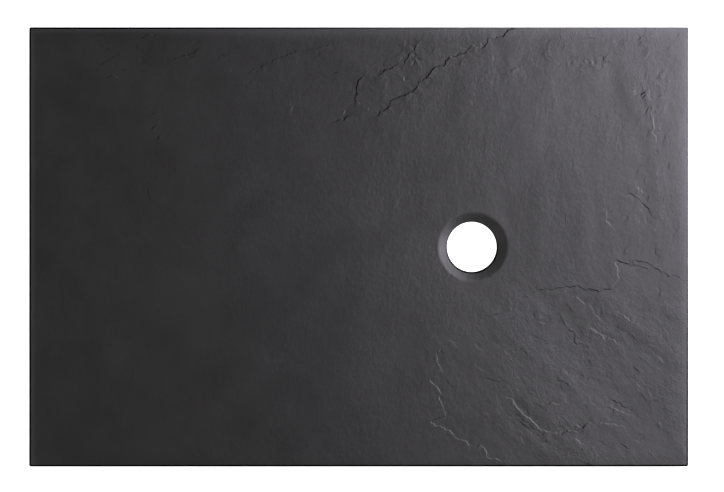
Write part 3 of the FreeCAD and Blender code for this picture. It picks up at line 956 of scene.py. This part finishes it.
def slate_gel_coat_material():
    """Anthracite gel coat: satin, with the grain and streaks of split slate, and painted shade and
    highlight along its clefts.
    """
    material, start = new_material("anthracite_gel_coat")
    place = place_of(start)
    leather = place.grain(**LEATHER)
    clouds = place.noise(scale=14, detail=4, rough=0.6)
    pores = place.noise(scale=900)
    crevice = start.node("ShaderNodeAttribute", {"attribute_name": "crevice"}, output=2)
    # The attribute holds painted light: above nought painted shade in a cleft, below nought a
    # painted highlight.
    dark = crevice.maths("MAXIMUM", 0)
    pale = (crevice * -1).maths("MAXIMUM", 0)

    tone = (clouds * 0.6 + leather * 0.4).between(0.3, 0.7)
    # paler towards the left, upper and right edges
    slate = pale_edge_mask(place).colours(tone.colours(*SLATE_TONES), PALE_EDGE_COLOUR)
    # painted shade: the clefts that face away from the key light turn near-black
    slate = dark.colours(slate, CLEFT_SHADE_COLOUR)
    roughness = SATIN + (clouds - 0.5) * CLOUD_ROUGHNESS + (pores - 0.5) * PORE_ROUGHNESS
    satin = {
        # painted highlight on the steps that face the key light
        "Base Color": pale.colours(slate, CLEFT_HIGHLIGHT_COLOUR),
        "Roughness": roughness + dark * CREVICE_ROUGHNESS,
        "IOR": 1.5,
        "Normal": slate_normal(start, place, leather, pores),
    }
    shadow = {"Base Color": SHADOW_COLOUR, "Roughness": 1.0, "Specular IOR Level": 0.0}
    # A black shader without reflection is mixed in as painted shade: the line along the edges and
    # round the waste hole, and painted shadow in the clefts.
    shadow_share = arris_shade_mask(place).maths("MAXIMUM", dark * CREVICE_SHADOW)
    return finish_material(material, start, satin, shadow, shadow_share)


# ---------------------------------------------------------------- finishes of the CAD's own nodes

CASTING_TONES = ((.24, .235, .225), (.46, .45, .43))
PIT_DEPTH = 0.5 * MM
SAND_HEIGHT = 0.15 * MM
MAT_TONES = ((.46, .50, .42), (.80, .83, .76))
STRAND_STRETCH = 0.06
STRAND_HEIGHT = 0.3 * MM


def casting_material():
    """Stone-filled resin: pale grey, speckled with sand and pitted with small air holes."""
    material, start = new_material("stone_filled_resin")
    place = place_of(start)
    sand = place.noise(scale=900, detail=3, rough=0.7)
    clouds = place.noise(scale=18, detail=4, rough=0.6)
    speckle = sand.between(0.56, 0.66)
    pits = place.node("ShaderNodeTexVoronoi", {"feature": "F1"}, {"Vector": place, "Scale": 160})
    pit_depth = pits.between(0.10, 0.22)
    normal = bumped(start, pit_depth, PIT_DEPTH)
    return finish_material(material, start, {
        "Base Color": (clouds * 0.5 + speckle * 0.5).colours(*CASTING_TONES),
        "Roughness": speckle.from_to(0.62, 0.82),
        "Normal": bumped(start, sand, SAND_HEIGHT, normal),
    })


def glass_mat_material():
    """Chopped glass strands soaked in resin: greenish white threads that lie across each other."""
    material, start = new_material("soaked_glass_mat")
    place = place_of(start)
    strands = place.grain(20, STRAND_STRETCH, scale=700)
    crossing = place.grain(-65, STRAND_STRETCH, scale=620)
    weave = strands.maths("MAXIMUM", crossing)
    return finish_material(material, start, {
        "Base Color": weave.between(0.45, 0.7).colours(*MAT_TONES),
        "Roughness": weave.from_to(0.35, 0.65),
        "Normal": bumped(start, weave, STRAND_HEIGHT),
    })


# ---------------------------------------------------------------- the studio

FLOOR_RADIUS = 7.0
FLOOR_SEGMENTS = 72
FLAT_RING = 2.0
COVE_HEIGHT = 4.0
COVE_RADIUS = COVE_HEIGHT / 2
COVE_STEPS = 12
PAPER_TONES = ((.80, .80, .80), (.83, .83, .83))
PAPER_GLOW = (.80, .80, .80)
# Painted light: the floor glows brighter under the waste hole, against the shade inside it; then
# that patch's soft edge, as distances from the hole's axis.
HOLE_GLOW = (1.15, 1.15, 1.15)
HOLE_GLOW_EDGE = (0.10, 0.06)

# The camera's height, its place in plan, and its lens and sensor in millimetres.
CAMERA_HEIGHT = 2.03
CAMERA_PLACE = (0.0059, 0.0016)
CAMERA_LENS = 54.68
CAMERA_SENSOR = 36

# Soft panels: place, the point that it is aimed at, its two sides, its power in watts, its colour.
KEY_COLOUR = (1.03, 1.0, 1.13)
FILL_COLOUR = (1.0, 0.96, 0.86)
PANELS = {
    "key_near": ((2.05, 0.45, 1.45), (2.05, 0.45, 0), (3.2, 3.1), 49, KEY_COLOUR),
    "key_far": ((2.35, 1.25, 1.55), (2.35, 1.25, 0), (2.9, 2.3), 95, KEY_COLOUR),
    "key_side": ((3.3, -0.3, 0.95), (0, 0.1, 0.3), (2.6, 1.3), 67, KEY_COLOUR),
    "low_fill": ((-2.6, -1.2, 1.3), (0, 0, 0), (1.6, 1.0), 10, FILL_COLOUR),
}

# The room's glow, by how high one looks: it rises over the horizon and sinks again overhead.
ROOM_COLOUR = (1.0, 0.96, 0.90, 1)
ROOM_GLOW = 0.11
LOWEST_GLOW = 0.01
HORIZON = (0.06, 0.30)
OVERHEAD = (0.55, 1.0)
OVERHEAD_SHARE = 0.55


def floor_material():
    """Plain white paper that glows a little, and glows brighter under the waste hole as painted
    light against the shade in the hole.
    """
    material, start = new_material("white_paper")
    place = place_of(start)
    # painted light under the waste hole, against the shade inside it
    under_hole_glow = place.from_upright(WASTE_X, 0).between(*HOLE_GLOW_EDGE)
    return finish_material(material, start, {
        "Base Color": place.noise(scale=60, detail=3).colours(*PAPER_TONES),
        "Roughness": 0.9,
        "Emission Color": under_hole_glow.colours(PAPER_GLOW, HOLE_GLOW),
        "Emission Strength": 1.0,
    })


def make_floor():
    """A round studio floor that curves up into a wall, far outside the tray."""
    rings = [(FLAT_RING, 0), (FLOOR_RADIUS - COVE_RADIUS, 0)]
    for turn in np.linspace(0, math.pi / 2, COVE_STEPS)[1:]:
        radius = FLOOR_RADIUS - COVE_RADIUS * (1 - math.sin(turn))
        rings.append((radius, COVE_RADIUS * (1 - math.cos(turn))))
    rings.append((FLOOR_RADIUS, COVE_HEIGHT))
    count = FLOOR_SEGMENTS
    turns = np.arange(count) * 2 * math.pi / count
    places = [(0, 0, 0)]
    for radius, height in rings:
        places += [(radius * math.cos(t), radius * math.sin(t), height) for t in turns]
    faces = [(0, 1 + i, 1 + (i + 1) % count) for i in range(count)]
    for ring in range(len(rings) - 1):
        low = 1 + ring * count
        for i in range(count):
            j = (i + 1) % count
            faces.append((low + i, low + count + i, low + count + j, low + j))
    mesh = bpy.data.meshes.new("studio_floor")
    mesh.from_pydata(places, [], faces)
    mesh.shade_smooth()
    floor = bpy.data.objects.new("studio_floor", mesh)
    bpy.context.collection.objects.link(floor)
    floor.data.materials.append(floor_material())
    floor.visible_glossy = False


def add_panel(name, place, aim, size, power, colour):
    """A soft rectangular light at one place, aimed at another."""
    light = bpy.data.lights.new(name, "AREA")
    light.shape = "RECTANGLE"
    light.size, light.size_y = size
    light.energy = power
    light.color = colour
    panel = bpy.data.objects.new(name, light)
    panel.location = place
    panel.rotation_euler = (Vector(aim) - Vector(place)).to_track_quat("-Z", "Y").to_euler()
    panel.visible_camera = False
    bpy.context.collection.objects.link(panel)


def soft_room():
    """A dim room: darkest along the horizon and overhead."""
    world = bpy.data.worlds.new("soft_room")
    world.use_nodes = True
    start = Shade(world.node_tree)
    up = start.node("ShaderNodeTexCoord").axis("Z")
    share = up.between(*HORIZON) * up.between(*OVERHEAD).from_to(1, OVERHEAD_SHARE)
    glow = share.from_to(LOWEST_GLOW, LOWEST_GLOW + ROOM_GLOW)
    background = start.node("ShaderNodeBackground", None, {"Color": ROOM_COLOUR, "Strength": glow})
    output = world.node_tree.nodes["World Output"]
    world.node_tree.links.new(background.socket, output.inputs["Surface"])
    bpy.context.scene.world = world


def make_camera():
    """Straight down on the tray's middle, with +X to the right."""
    camera = bpy.data.cameras.new("camera")
    camera.lens = CAMERA_LENS
    camera.sensor_width = CAMERA_SENSOR
    holder = bpy.data.objects.new("camera", camera)
    holder.location = (*CAMERA_PLACE, CAMERA_HEIGHT)
    bpy.context.collection.objects.link(holder)
    bpy.context.scene.camera = holder


# ---------------------------------------------------------------- dressing the frame

def dress(node, material):
    """A CAD node keeps its shape and takes a new material."""
    node.data.materials.clear()
    node.data.materials.append(material)


clefts, fine_clefts = make_clefts()
gel_coat = make_gel_coat()
gel_coat.data.materials.append(slate_gel_coat_material())
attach(gel_coat, "root")
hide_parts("gel_coat")
dress(frame["nodes"]["mineral_casting"], casting_material())
dress(frame["nodes"]["glass_fibre_mat"], glass_mat_material())

make_floor()
soft_room()
for panel, setting in PANELS.items():
    add_panel(panel, *setting)
make_camera()
bpy.context.scene.view_settings.view_transform = "Standard"
